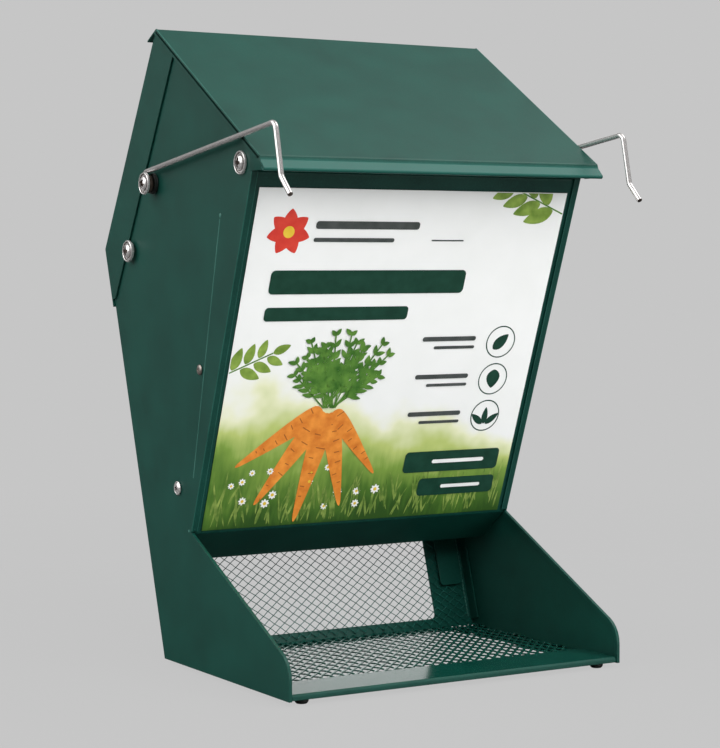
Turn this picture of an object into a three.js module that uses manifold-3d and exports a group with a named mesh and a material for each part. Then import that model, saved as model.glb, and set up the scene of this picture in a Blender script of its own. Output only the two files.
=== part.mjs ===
// Rabbit feeder: a folded sheet-metal hopper with a netted trough, a hinged lid and two wire hooks.
// Millimetres, with X to the right, Y to the rear and Z up.
// The origin is on the ground, under the middle of the box round the whole feeder.
import * as THREE from "three";
import { mergeVertices } from "three/addons/utils/BufferGeometryUtils.js";
import Module from "manifold-3d";

const wasm = await Module();
wasm.setup();

// Sheet metal and how it is drawn
const sheet = 0.8;
const gap = 0.3; // between neighbouring pieces
const bendRadius = 0.7; // on the inside of a fold
const overrun = 4; // how far a cut runs past its wall
const facetAngle = 15; // degrees turned by one facet of a round
const weldTolerance = 0.001;
const quarterTurn = 90;
const halfTurn = 180;

// Body, seen from the side
const bodyWidth = 200; // over the side panels
const baseDepth = 138; // of the side panels along the ground
const backLean = 17.6; // degrees by which the lower back leans out
const kneeHeight = 220; // where the back turns forwards
const upperLean = 30.3; // degrees by which the upper back leans in
const ridgeHeight = 336;
const ridgeInset = 2; // of the ridge from the cover's back
const roofAngle = 31.9; // of the roof's slope
const throatDepth = 106; // of the front panel's lower corner
const throatHeight = 71.5;
const faceLean = 20.5; // degrees by which the front panel leans
const cheekHeight = 18.8; // of the trough's side at the very front
const cheekRadius = 14;

// Side panels
const stripWidth = 3.5; // of the strip folded in front of the front panel
const rollThickness = 1.7; // of the rolled edge round the trough
const rollWidth = 2.2;
const footFlangeWidth = 16;
const footFlangeInset = 2.4; // of the foot flange's ends from the panel's

// Front panel
const throatPlateLength = 27;
const throatPlateAngle = 38; // below level
const throatDrop = 1.2; // of the panel's lower fold below the throat corner
const topReturn = 4.5;
const innerFlangeWidth = 26;
const innerFlangeRise = 5; // of its lower end above the throat, along the panel
const innerFlangeDrop = 1; // of its upper end below the notches
const innerFlangeChamfer = 8;
const earNotch = 24; // how far down the panel's top corners are narrowed for the lid's ears

// Rear cover
const coverFlangeWidth = 25;
const coverTipRadius = 3;

// Lower back panel
const windowWidth = 148;
const windowBottom = 6.5; // along the panel
const windowTop = 64;
const windowRadius = 3;
const backFlangeWidth = 8;
const backFlangeInset = 4; // of its ends from the panel's
const backTopClearance = 3; // under the knee

// Trough strip, nets and the clips that hold the back net
const troughHeight = 3.3;
const troughStripInset = 0.5; // of the lip behind the side panels' front edges
const troughStripDepth = 30.5;
const netThickness = 1.1;
const netCell = 14.5; // from corner to corner of a diamond, strand centre to strand centre
const netStrand = 2.6; // across the same corners
const netMargin = 3;
const netTuck = 7; // under the trough strip
const backNetTuck = 3; // above the window
const clipWidth = 15;
const clipInset = 4.2; // from the side panel's inner face
const clipBottom = 25; // along the panel
const clipTop = 66;
const clipRadius = 2.5;

// Lid
const eaveOverhang = 8.9; // of the roof's front fold past the side panels' front edges
const joggleLength = 2.3;
const joggleAngle = 72; // degrees below level
const lipLength = 6.3;
const lipAngle = 45;
const hemLength = 3.2; // of the lip's edge, folded back under it
const hemDepth = 2.2; // over both layers
const hemRadius = 0.2;
const dripLength = 12;
const dripAngle = 27;
const skirtDepth = 3.4;
const skirtChamfer = 3;

// Lid hinge
const pivotInset = 10.6; // behind the front panel's face
const cornerRise = 1.5; // of the side panel's round above the front strip's top
const earRadius = 6.5;
const earStart = 18; // along the roof from the pivot
const earLength = 42;
const earFlangeWidth = 9;

// Screws, nuts, washers and rivets
const shankRadius = 2;
const headRadius = 6;
const headHeight = 2.6;
const rimHeight = 0.7;
const crownShare = 0.66; // of the head's radius where the crown starts
const shoulderShare = 0.55; // of the head's radius where the crown turns over
const topShare = 0.3; // of the head's radius that is nearly flat
const shoulderRise = 1.3; // of the crown above the rim
const recessReach = 2.8;
const recessWidth = 1;
const recessDepth = 1.3;
const nutAcross = 7;
const nutThickness = 3.2;
const shankTail = 1.6; // of a shank past its nut
const washerRadius = 5.4;
const coverWasherThickness = 0.6;
const spacerRadius = 5.6; // the black washer under each hook
const spacerThickness = 2;
const coverScrewOffset = 4.9; // in front of the cover's flange
const coverScrewDrop = 1.2; // below the knee
const smallShankRadius = 1.5;
const smallHeadRadius = 2.8;
const smallHeadHeight = 1.3;
const smallShankLength = 5;
const throatScrewDepth = 20.5; // behind the front panel's face
const throatScrewHeight = 93.5;
const rivetDepth = 18;
const rivetHeight = 157;
const rivetHeadRadius = 2.2;
const rivetHeadHeight = 0.9;

// Wire hooks
const wireRadius = 1.4;
const wireSides = 8;
const hookInset = 36.8; // of the pivot from the cover's back
const hookDrop = 6.9; // of its pivot below the lid's
const eyeStartAngle = 110; // where the eye's cut end lies
const legLength = 6.6; // from the pivot up to the arm
const legRadius = 3;
const armAngle = 7.2; // above level
const armLength = 147;
const armRadius = 4;
const dropAngle = 257.5;
const dropLength = 27;
const dropRadius = 3.5;
const tipAngle = 225;
const tipLength = 12.4;

// Feet and label
const footRadius = 3.5;
const footFlatRadius = 2.3;
const footHeight = 2.2;
const footStemRadius = 1.5;
const footSideInset = 10.5;
const footFrontInset = 6.5;
const footRearInset = 5.5;
const labelWidth = 187.6;
const labelRise = 1.8; // above the front panel's lower fold
const labelDrop = 8.4; // below its upper one
const labelThickness = 0.2;

// Points of the side view are (Y, Z); a line has a start and a heading in degrees
const toRadians = (degrees) => THREE.MathUtils.degToRad(degrees);
const point = (y, z) => new THREE.Vector2(y, z);
const direction = (angle) => point(Math.cos(toRadians(angle)), Math.sin(toRadians(angle)));
const move = (from, angle, distance) => from.clone().addScaledVector(direction(angle), distance);
const line = (start, angle) => ({ start, angle });
const shift = (from, distance) => line(move(from.start, from.angle + quarterTurn, distance), from.angle);
const headingOf = (from, to) => THREE.MathUtils.radToDeg(Math.atan2(to.y - from.y, to.x - from.x));

function meet(one, other) {
  const along = direction(one.angle);
  const across = direction(other.angle);
  const apart = other.start.clone().sub(one.start);
  return one.start.clone().addScaledVector(along, apart.cross(across) / along.cross(across));
}

// The signed turn from one heading to another, in degrees
function turnBetween(before, after) {
  const fullTurn = 2 * halfTurn;
  return THREE.MathUtils.euclideanModulo(after - before + halfTurn, fullTurn) - halfTurn;
}

// An arc as points, a facet at a time
function arcPoints(centre, radius, startAngle, turn) {
  const facets = Math.max(1, Math.ceil(Math.abs(turn) / facetAngle));
  return Array.from({ length: facets + 1 }, (_, i) => move(centre, startAngle + (turn * i) / facets, radius));
}

// The points of a rounded corner between the points before and after it
function roundedCorner(before, corner, after, radius) {
  if (radius <= 0) return [corner];
  const inward = headingOf(before, corner);
  const turn = turnBetween(inward, headingOf(corner, after));
  const side = Math.sign(turn);
  const reach = radius * Math.tan(toRadians(Math.abs(turn) / 2));
  const start = move(corner, inward + halfTurn, reach);
  const centre = move(start, inward + side * quarterTurn, radius);
  return arcPoints(centre, radius, inward - side * quarterTurn, turn);
}

// A closed outline from corners, with a radius for each
function roundedOutline(corners, radii) {
  const last = corners.length;
  return corners.flatMap((corner, i) =>
    roundedCorner(corners[(i + last - 1) % last], corner, corners[(i + 1) % last], radii[i] ?? 0),
  );
}

// The section of a folded sheet: one face runs along the corners, and the sheet lies to its left
function folded(corners, thickness, radii = []) {
  const lines = corners.slice(1).map((to, i) => line(corners[i], headingOf(corners[i], to)));
  const lasting = lines.length - 1;
  const inner = lines.map((face) => shift(face, thickness));
  const ends = [inner[0].start, move(corners[lasting + 1], lines[lasting].angle + quarterTurn, thickness)];
  const folds = lines.slice(1).map((next, i) => {
    const left = turnBetween(lines[i].angle, next.angle) > 0;
    const radius = radii[i] ?? bendRadius;
    return {
      corner: meet(inner[i], inner[i + 1]),
      faceRadius: left ? radius + thickness : radius,
      innerRadius: left ? radius : radius + thickness,
    };
  });
  const outline = [...corners, ends[1], ...folds.map((fold) => fold.corner).reverse(), ends[0]];
  const faceRadii = folds.map((fold) => fold.faceRadius);
  const innerRadii = folds.map((fold) => fold.innerRadius).reverse();
  return roundedOutline(outline, [0, ...faceRadii, 0, 0, ...innerRadii, 0]);
}

const circle = (centre, radius) => arcPoints(centre, radius, 0, 2 * halfTurn).slice(1);

function hexagon(centre, across) {
  const corners = 6;
  const cornerRadius = across / 2 / Math.cos(Math.PI / corners);
  return Array.from({ length: corners }, (_, i) => move(centre, (i * 2 * halfTurn) / corners, cornerRadius));
}

// Solids
function extruded(outline, depth, holes = []) {
  const shape = new THREE.Shape(outline);
  shape.holes = holes.map((hole) => new THREE.Path(hole));
  return new THREE.ExtrudeGeometry(shape, { depth, bevelEnabled: false });
}

// A side-view outline carried across the feeder from one X to another
function prism(outline, from, to, holes = []) {
  const [low, high] = [Math.min(from, to), Math.max(from, to)];
  const acrossFeeder = new THREE.Matrix4().set(0, 0, 1, low, 1, 0, 0, 0, 0, 1, 0, 0, 0, 0, 0, 1);
  return extruded(outline, high - low, holes).applyMatrix4(acrossFeeder);
}

// Stands a plate's own frame on a side-view line: X across, Y along the line and Z to its left
function stoodOn(base, plate) {
  const along = direction(base.angle);
  const out = direction(base.angle + quarterTurn);
  const { x: y, y: z } = base.start;
  return plate.applyMatrix4(new THREE.Matrix4().set(1, 0, 0, 0, 0, along.x, out.x, y, 0, along.y, out.y, z, 0, 0, 0, 1));
}

const plateOn = (base, outline, thickness) => stoodOn(base, extruded(outline, thickness));

// A turned piece on an axis along X: its profile is (radius, X), and it stands at a point of the side view
function turned(profile, centre) {
  const segments = (2 * halfTurn) / facetAngle;
  const onAxis = new THREE.Matrix4().set(0, 1, 0, 0, 0, 0, 1, centre.x, 1, 0, 0, centre.y, 0, 0, 0, 1);
  return new THREE.LatheGeometry(profile, segments).applyMatrix4(onAxis);
}

function solid(geometry) {
  const bare = new THREE.BufferGeometry();
  bare.setAttribute("position", geometry.getAttribute("position"));
  bare.setIndex(geometry.index);
  const { attributes, index } = mergeVertices(bare, weldTolerance);
  const triVerts = new Uint32Array(index.array);
  return new wasm.Manifold(new wasm.Mesh({ numProp: 3, vertProperties: attributes.position.array, triVerts }));
}

function geometryOf(body) {
  const { vertProperties, triVerts } = body.getMesh();
  const geometry = new THREE.BufferGeometry();
  geometry.setAttribute("position", new THREE.BufferAttribute(vertProperties, 3));
  geometry.setIndex(new THREE.BufferAttribute(triVerts, 1));
  return geometry;
}

const joined = (first, ...others) => geometryOf(others.reduce((body, other) => body.add(solid(other)), solid(first)));
const cut = (first, ...others) => geometryOf(others.reduce((body, other) => body.subtract(solid(other)), solid(first)));

function mirrored(geometry) {
  const turnedRound = geometry.index ? geometry.toNonIndexed() : geometry.clone();
  turnedRound.scale(-1, 1, 1);
  const { array } = turnedRound.getAttribute("position");
  for (let i = 0; i < array.length; i += 9)
    for (let k = 0; k < 3; k++) [array[i + k], array[i + 3 + k]] = [array[i + 3 + k], array[i + k]];
  return turnedRound;
}

// Finishes
const finishes = {
  paint: { color: 0x1f4a3f, roughness: 0.42, metalness: 0.15 },
  netPaint: { color: 0x12372d, roughness: 0.5, metalness: 0.2 },
  steel: { color: 0xc9c6c2, roughness: 0.25, metalness: 1 },
  rubber: { color: 0x10140f, roughness: 0.7, metalness: 0 },
  paper: { color: 0xf0f1ee, roughness: 0.5, metalness: 0 },
};

const feeder = new THREE.Group();

function place(name, geometry, finish) {
  const bare = geometry.index ? geometry.toNonIndexed() : geometry;
  bare.deleteAttribute("uv");
  bare.computeVertexNormals();
  const mesh = new THREE.Mesh(bare, new THREE.MeshStandardMaterial(finishes[finish]));
  mesh.name = name;
  feeder.add(mesh);
}

// A piece made for the right side, and its mirror image for the left
function placePair(name, geometry, finish) {
  place("left_" + name, mirrored(geometry), finish);
  place("right_" + name, geometry, finish);
}

// The lines that the body is laid out on. Each heading turns anticlockwise round the side view.
const seat = sheet + gap; // from a face to the face of the sheet that covers it
const halfWidth = bodyWidth / 2;
const innerWall = halfWidth - sheet;
const insideWidth = innerWall - gap; // to the outer faces of what fits between the side panels
const coverSide = halfWidth + seat;
const lidSide = coverSide + seat;
const ground = line(point(0, 0), 0);
const throatCorner = point(throatDepth, throatHeight);
const face = line(throatCorner, quarterTurn + faceLean);
const cheek = line(point(0, cheekHeight), headingOf(point(0, cheekHeight), throatCorner));
const lowerBack = line(point(baseDepth, 0), quarterTurn - backLean);
const knee = meet(lowerBack, line(point(0, kneeHeight), 0));
const upperBack = line(knee, quarterTurn + upperLean);
const coverBack = shift(upperBack, -seat);
const coverReturn = shift(lowerBack, -seat);
const ridge = meet(line(point(0, ridgeHeight), 0), shift(coverBack, ridgeInset));
const roof = line(ridge, halfTurn + roofAngle);
const drip = line(ridge, -dripAngle);
const topEdge = shift(roof, seat);
const dripEdge = shift(drip, -seat);
const frontEdge = shift(face, seat);
const frontRound = pivotInset + seat;
const lidPivot = meet(shift(face, -pivotInset), shift(topEdge, frontRound + cornerRise));
const coverEdge = shift(coverBack, coverFlangeWidth);
const coverScrew = meet(shift(coverEdge, coverScrewOffset), line(point(0, kneeHeight - coverScrewDrop), 0));
const hookPivot = meet(shift(coverBack, hookInset), line(point(0, lidPivot.y - hookDrop), 0));
const throatScrew = meet(shift(face, -throatScrewDepth), line(point(0, throatScrewHeight), 0));
const sideRivet = meet(shift(face, -rivetDepth), line(point(0, rivetHeight), 0));
const facePoint = (rise, depth) => move(move(throatCorner, face.angle, rise), face.angle - quarterTurn, depth);
const panelRise = meet(topEdge, frontEdge).distanceTo(throatCorner) - frontRound; // of its top above the throat corner
const panelFold = facePoint(-throatDrop, 0);

// Side panels: a plate with a rolled trough edge, a strip folded over the front panel and a foot flange
function sidePanel() {
  const frontTop = meet(topEdge, frontEdge);
  const cheekTop = meet(frontEdge, cheek);
  const corners = [
    ground.start,
    lowerBack.start,
    knee,
    meet(upperBack, dripEdge),
    meet(dripEdge, topEdge),
    frontTop,
    cheekTop,
    cheek.start,
  ];
  const outline = roundedOutline(corners, [0, 0, 0, 0, 0, frontRound, 0, cheekRadius]);
  const holes = [lidPivot, hookPivot, coverScrew].map((centre) => circle(centre, shankRadius + gap));
  holes.push(circle(throatScrew, smallShankRadius + gap), circle(sideRivet, smallShankRadius + gap));
  const plate = prism(outline, innerWall, halfWidth, holes);
  const strip = [facePoint(sheet, -seat), facePoint(panelRise, -seat), facePoint(panelRise, -gap), facePoint(sheet, -gap)];
  const roll = folded([cheekTop, cheek.start, ground.start], rollWidth, [cheekRadius - rollWidth]);
  return joined(
    plate,
    prism(strip, halfWidth - stripWidth, halfWidth),
    prism(roll, halfWidth - rollThickness, halfWidth),
    footFlange(),
  );
}

function footFlange() {
  const [front, rear] = [footFlangeInset, baseDepth - footFlangeInset];
  const [inner, outer] = [halfWidth - footFlangeWidth, halfWidth];
  const outline = [point(inner, front), point(outer, front), point(outer, rear), point(inner, rear)];
  const stemHoles = footPlaces().map((place) => circle(place, footStemRadius + gap));
  return extruded(outline, sheet, stemHoles);
}

// Where the feet stand on the right side, as (X, Y)
function footPlaces() {
  const across = halfWidth - footSideInset;
  return [point(across, footFrontInset), point(across, baseDepth - footRearInset)];
}

// Front panel: the sloping face, a return at its top, the throat plate under it and flanges inside the body
function frontPanel() {
  const top = facePoint(panelRise, 0);
  const section = folded(
    [
      facePoint(panelRise, topReturn),
      top,
      panelFold,
      move(panelFold, -throatPlateAngle, throatPlateLength),
    ],
    sheet,
  );
  const [low, high] = [innerFlangeRise, panelRise - earNotch - innerFlangeDrop];
  const flange = [
    facePoint(low, 0),
    facePoint(low + innerFlangeChamfer, innerFlangeWidth),
    facePoint(high - innerFlangeChamfer, innerFlangeWidth),
    facePoint(high, 0),
  ];
  const holes = [circle(throatScrew, smallShankRadius + gap), circle(sideRivet, smallShankRadius + gap)];
  const side = prism(flange, insideWidth - sheet, insideWidth, holes);
  const panel = joined(prism(section, -insideWidth, insideWidth), side, mirrored(side));
  const [notchFoot, notchDepth] = [panelRise - earNotch, topReturn + overrun];
  const notch = [
    facePoint(notchFoot, -overrun),
    facePoint(notchFoot, notchDepth),
    facePoint(panelRise + overrun, notchDepth),
    facePoint(panelRise + overrun, -overrun),
  ];
  const corner = prism(notch, insideWidth - seat, halfWidth);
  return cut(panel, corner, mirrored(corner));
}

// Rear cover: the upper back, turned under at the knee, with flanges over the side panels
function rearCover() {
  const coverKnee = meet(coverReturn, coverBack);
  const tip = meet(coverReturn, coverEdge);
  const top = meet(coverBack, dripEdge);
  const back = folded([tip, coverKnee, top], sheet);
  const corners = [tip, coverKnee, top, meet(dripEdge, topEdge), meet(topEdge, coverEdge)];
  const flange = roundedOutline(corners, [coverTipRadius, bendRadius + sheet, 0, 0, 0]);
  const side = prism(flange, coverSide - sheet, coverSide);
  return joined(prism(back, -coverSide, coverSide), side, mirrored(side));
}

// A rectangle standing on a plate's own line, with rounded corners, as (X, distance along)
function plateRectangle(left, right, bottom, top, radius) {
  const corners = [point(left, bottom), point(right, bottom), point(right, top), point(left, top)];
  return roundedOutline(corners, [radius, radius, radius, radius]);
}

// Lower back panel: a netted window, side flanges and a bottom flange that carries the net's rear edge
function lowerBackPanel() {
  const length = knee.distanceTo(lowerBack.start) - backTopClearance;
  const top = move(lowerBack.start, lowerBack.angle, length);
  const foot = point(baseDepth - backFlangeWidth, 0);
  const section = folded([foot, lowerBack.start, top], sheet);
  const flange = [
    move(lowerBack.start, lowerBack.angle, backFlangeInset),
    move(shift(lowerBack, backFlangeWidth).start, lowerBack.angle, backFlangeInset),
    move(shift(lowerBack, backFlangeWidth).start, lowerBack.angle, length - backFlangeWidth),
    move(lowerBack.start, lowerBack.angle, length - backFlangeInset),
  ];
  const side = prism(flange, insideWidth - sheet, insideWidth);
  const panel = joined(prism(section, -insideWidth, insideWidth), side, mirrored(side));
  const cornerBox = [
    point(foot.x - overrun, -overrun),
    point(baseDepth + overrun, -overrun),
    point(baseDepth + overrun, seat),
    point(foot.x - overrun, seat),
  ];
  const corner = prism(cornerBox, halfWidth - footFlangeWidth - gap, halfWidth);
  const opening = plateRectangle(-windowWidth / 2, windowWidth / 2, windowBottom, windowTop, windowRadius);
  const window = plateOn(shift(lowerBack, -overrun), opening, sheet + 2 * overrun);
  return cut(panel, corner, mirrored(corner), window);
}

// Trough strip: the solid front of the trough floor, folded down to a low lip
function troughStrip() {
  const rear = point(troughStripInset + troughStripDepth, troughHeight);
  const lipTop = point(troughStripInset, troughHeight);
  const lipFoot = point(troughStripInset, gap);
  const width = halfWidth - rollThickness - gap;
  return prism(folded([rear, lipTop, lipFoot], sheet), -width, width);
}

// A flat net: a plate with staggered diamond holes, its width across X and its height from zero up
function net(width, height) {
  const outline = [point(-width / 2, 0), point(width / 2, 0), point(width / 2, height), point(-width / 2, height)];
  const reach = (netCell - netStrand) / 2;
  const rowStep = netCell / 2;
  const rows = Math.floor((height - 2 * netMargin - netCell) / rowStep) + 1;
  const firstRow = (height - (rows - 1) * rowStep) / 2;
  const diamonds = [];
  for (let row = 0; row < rows; row++) {
    const odd = row % 2;
    const columns = Math.floor((width / 2 - netMargin - rowStep - odd * rowStep) / netCell);
    for (let column = -columns - odd; column <= columns; column++) {
      const centre = point(column * netCell + odd * rowStep, firstRow + row * rowStep);
      diamonds.push(new THREE.Shape([0, 1, 2, 3].map((i) => move(centre, i * quarterTurn, reach))));
    }
  }
  const depth = netThickness + 2 * overrun;
  const cutters = new THREE.ExtrudeGeometry(diamonds, { depth, bevelEnabled: false });
  return cut(extruded(outline, netThickness), cutters.translate(0, 0, -overrun));
}

function floorNet() {
  const front = troughStripInset + troughStripDepth - netTuck;
  const top = troughHeight - seat;
  const base = line(point(front, top - netThickness), 0);
  return stoodOn(base, net(2 * insideWidth, baseDepth - seat - front));
}

function backNet() {
  const bottom = troughHeight - seat + gap;
  const base = shift(lowerBack, seat);
  base.start = move(base.start, base.angle, bottom);
  const top = windowTop + backNetTuck + netMargin;
  return stoodOn(base, net(2 * (insideWidth - seat), top - bottom));
}

// Net clip: a narrow plate that holds the back net's side against the panel
function netClip() {
  const outer = innerWall - clipInset;
  const outline = plateRectangle(outer - clipWidth, outer, clipBottom, clipTop, clipRadius);
  return plateOn(shift(lowerBack, seat + netThickness + gap), outline, sheet);
}

// Lid: the roof, a stepped and hemmed lip over the front, a drip edge behind the ridge and skirts down its sides
function lid() {
  const roofLength = ridge.distanceTo(meet(roof, frontEdge)) + eaveOverhang;
  const eave = move(ridge, roof.angle, roofLength);
  const step = move(eave, halfTurn + joggleAngle, joggleLength);
  const lip = move(step, halfTurn + lipAngle, lipLength);
  const dripEnd = move(ridge, drip.angle, dripLength);
  const underLip = move(lip, halfTurn + lipAngle + quarterTurn, hemDepth);
  const hemEnd = move(underLip, lipAngle, hemLength);
  const folds = [bendRadius, bendRadius, bendRadius, hemRadius, hemRadius];
  const section = folded([dripEnd, ridge, eave, step, lip, underLip, hemEnd], sheet, folds);
  const skirtLine = shift(roof, skirtDepth);
  const skirt = [
    ridge,
    eave,
    move(skirtLine.start, skirtLine.angle, roofLength - skirtChamfer),
    meet(skirtLine, shift(drip, -sheet)),
  ];
  const side = prism(skirt, lidSide - sheet, lidSide);
  return joined(prism(section, -lidSide, lidSide), side, mirrored(side));
}

// Lid ear: a gusset under the roof, inside the side panel, that turns on the lid's pivot
function lidEar() {
  const underRoof = shift(roof, seat);
  const towardsRidge = roof.angle + halfTurn;
  const foot = meet(underRoof, line(lidPivot, roof.angle - quarterTurn));
  const front = move(foot, towardsRidge, earStart);
  const rear = move(foot, towardsRidge, earStart + earLength);
  const opening = (from) => THREE.MathUtils.radToDeg(Math.acos(earRadius / from.distanceTo(lidPivot)));
  const leave = headingOf(lidPivot, front) + opening(front);
  const arrive = headingOf(lidPivot, rear) - opening(rear);
  const turn = THREE.MathUtils.euclideanModulo(arrive - leave, 2 * halfTurn);
  const outline = [front, ...arcPoints(lidPivot, earRadius, leave, turn), rear];
  const plate = prism(outline, insideWidth - sheet, insideWidth, [circle(lidPivot, shankRadius + gap)]);
  const weld = [front, move(front, roof.angle + quarterTurn, sheet), move(rear, roof.angle + quarterTurn, sheet), rear];
  return joined(plate, prism(weld, insideWidth - earFlangeWidth, insideWidth));
}

// A cross-head screw on an axis along X, from the underside of its head inwards
function screw(centre, underHead, tail) {
  const profile = [
    point(0, tail),
    point(shankRadius, tail),
    point(shankRadius, underHead),
    point(headRadius, underHead),
    point(headRadius, underHead + rimHeight),
    point(headRadius * crownShare, underHead + rimHeight),
    point(headRadius * shoulderShare, underHead + rimHeight + shoulderRise),
    point(headRadius * topShare, underHead + headHeight),
    point(0, underHead + headHeight),
  ];
  const bottom = underHead + headHeight - recessDepth;
  const slots = [0, quarterTurn].map((angle) => {
    const slot = new THREE.BoxGeometry(recessDepth + overrun, 2 * recessReach, recessWidth);
    slot.rotateX(toRadians(angle));
    return slot.translate(bottom + (recessDepth + overrun) / 2, centre.x, centre.y);
  });
  return cut(turned(profile, centre), ...slots);
}

const nut = (centre, outer) =>
  prism(hexagon(centre, nutAcross), outer - nutThickness, outer, [circle(centre, shankRadius + gap)]);
const washer = (centre, inner, thickness, radius) =>
  prism(circle(centre, radius), inner, inner + thickness, [circle(centre, shankRadius + gap)]);

// A small domed head with a plain shank, for the throat screw and the rivet
function studHead(centre, radius, height) {
  const underHead = halfWidth + gap;
  const profile = [
    point(0, underHead - smallShankLength),
    point(smallShankRadius, underHead - smallShankLength),
    point(smallShankRadius, underHead),
    point(radius, underHead),
    point(radius * crownShare, underHead + height),
    point(0, underHead + height),
  ];
  return turned(profile, centre);
}

// A route whose listed points are its steps, so that straight runs take one step each
class WireRoute extends THREE.Curve {
  constructor(points) {
    super();
    this.points = points;
  }
  getPoint(share) {
    const place = Math.min(share, 1) * (this.points.length - 1);
    const before = Math.min(Math.floor(place), this.points.length - 2);
    return this.points[before].clone().lerp(this.points[before + 1], place - before);
  }
  getUtoTmapping(share) {
    return share;
  }
}

// Wire hook: an open eye on its screw, a short leg, the long arm, a drop at the front and a turned-out tip
function wireHook(across) {
  const eyeRadius = shankRadius + gap + wireRadius;
  const eyeEnd = point(hookPivot.x + eyeRadius, hookPivot.y);
  const armHeading = halfTurn - armAngle;
  const heel = meet(line(eyeEnd, quarterTurn), line(move(hookPivot, quarterTurn, legLength), armHeading));
  const apex = move(heel, armHeading, armLength);
  const kink = move(apex, dropAngle, dropLength);
  const end = move(kink, tipAngle, tipLength);
  const flat = [
    ...arcPoints(hookPivot, eyeRadius, eyeStartAngle, 2 * halfTurn - eyeStartAngle),
    ...roundedCorner(eyeEnd, heel, apex, legRadius),
    ...roundedCorner(heel, apex, kink, armRadius),
    ...roundedCorner(apex, kink, end, dropRadius),
    end,
  ];
  const route = new WireRoute(flat.map(({ x, y }) => new THREE.Vector3(across, x, y)));
  const section = Array.from({ length: wireSides }, (_, i) =>
    move(point(0, 0), ((i + 1 / 2) * 2 * halfTurn) / wireSides, wireRadius),
  );
  const steps = flat.length - 1;
  return new THREE.ExtrudeGeometry(new THREE.Shape(section), { steps, extrudePath: route });
}

// Foot: a low bumper with a stem in the foot flange
function foot(place) {
  const profile = [
    point(0, -gap - footHeight),
    point(footFlatRadius, -gap - footHeight),
    point(footRadius, -gap - footHeight / 2),
    point(footRadius, -gap),
    point(footStemRadius, -gap),
    point(footStemRadius, sheet),
    point(0, sheet),
  ];
  const upright = new THREE.LatheGeometry(profile, (2 * halfTurn) / facetAngle).rotateX(toRadians(quarterTurn));
  return upright.translate(place.x, place.y, 0);
}

// Label: a thin sheet on the front panel
function label() {
  const [low, high] = [labelRise - throatDrop, panelRise - labelDrop];
  const outline = plateRectangle(-labelWidth / 2, labelWidth / 2, low, high, 0);
  return plateOn(shift(face, gap), outline, labelThickness);
}

placePair("side_panel", sidePanel(), "paint");
place("front_panel", frontPanel(), "paint");
place("rear_cover", rearCover(), "paint");
place("lower_back_panel", lowerBackPanel(), "paint");
place("trough_strip", troughStrip(), "paint");
place("floor_net", floorNet(), "netPaint");
place("back_net", backNet(), "netPaint");
placePair("net_clip", netClip(), "paint");
place("lid", lid(), "paint");
placePair("lid_ear", lidEar(), "paint");

// Each nut lies on the sheet next to it, and each shank ends just past its nut
const earNutFace = insideWidth - sheet - gap;
const tailPast = (nutFace) => nutFace - nutThickness - shankTail;
placePair("lid_screw", screw(lidPivot, halfWidth + gap, tailPast(earNutFace)), "steel");
placePair("lid_nut", nut(lidPivot, earNutFace), "steel");

const spacerFace = halfWidth + gap + spacerThickness;
const hookPlane = spacerFace + gap + wireRadius;
placePair("hook", wireHook(hookPlane), "steel");
placePair("hook_spacer", washer(hookPivot, halfWidth + gap, spacerThickness, spacerRadius), "rubber");
placePair("hook_screw", screw(hookPivot, hookPlane + wireRadius + gap, tailPast(insideWidth)), "steel");
placePair("hook_nut", nut(hookPivot, insideWidth), "steel");

const washerFace = coverSide + gap + coverWasherThickness;
placePair("cover_washer", washer(coverScrew, coverSide + gap, coverWasherThickness, washerRadius), "steel");
placePair("cover_screw", screw(coverScrew, washerFace + gap, tailPast(insideWidth)), "steel");
placePair("cover_nut", nut(coverScrew, insideWidth), "steel");

placePair("throat_screw", studHead(throatScrew, smallHeadRadius, smallHeadHeight), "steel");
placePair("side_rivet", studHead(sideRivet, rivetHeadRadius, rivetHeadHeight), "paint");
["front", "rear"].forEach((end, i) => placePair(end + "_foot", foot(footPlaces()[i]), "rubber"));
place("front_label", label(), "paper");

const whole = new THREE.Box3().setFromObject(feeder);
const middle = whole.getCenter(new THREE.Vector3());
feeder.position.set(-middle.x, -middle.y, -whole.min.z);

export default feeder;
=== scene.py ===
import math
import random

import bmesh
import bpy
from mathutils import Matrix, Vector


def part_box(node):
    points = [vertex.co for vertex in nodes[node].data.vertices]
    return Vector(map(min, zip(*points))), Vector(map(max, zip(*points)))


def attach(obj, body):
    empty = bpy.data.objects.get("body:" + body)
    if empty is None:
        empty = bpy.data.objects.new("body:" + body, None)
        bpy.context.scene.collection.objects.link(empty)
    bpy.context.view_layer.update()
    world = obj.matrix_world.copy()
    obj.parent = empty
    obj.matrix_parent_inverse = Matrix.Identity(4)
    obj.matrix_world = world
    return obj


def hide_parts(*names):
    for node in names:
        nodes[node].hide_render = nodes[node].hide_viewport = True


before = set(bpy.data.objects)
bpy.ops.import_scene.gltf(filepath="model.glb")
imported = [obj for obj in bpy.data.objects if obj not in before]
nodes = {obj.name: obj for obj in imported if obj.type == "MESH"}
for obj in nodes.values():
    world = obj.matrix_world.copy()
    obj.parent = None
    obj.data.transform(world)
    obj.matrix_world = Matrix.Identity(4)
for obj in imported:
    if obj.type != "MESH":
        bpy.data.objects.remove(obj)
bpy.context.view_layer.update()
mm = 0.001

view = {
    "place": (-0.5947, -0.99501, 0.2115),
    "heading": 30.83,  # degrees from straight ahead, towards +X
    "dip": 2.82, "roll": -0.14,
    "focal": 2141.3,  # pixels
    "frameHeight": 748, "filmSize": 36,
}


def newObject(name, data):
    made = bpy.data.objects.new(name, data)
    bpy.context.scene.collection.objects.link(made)
    return made


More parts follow.
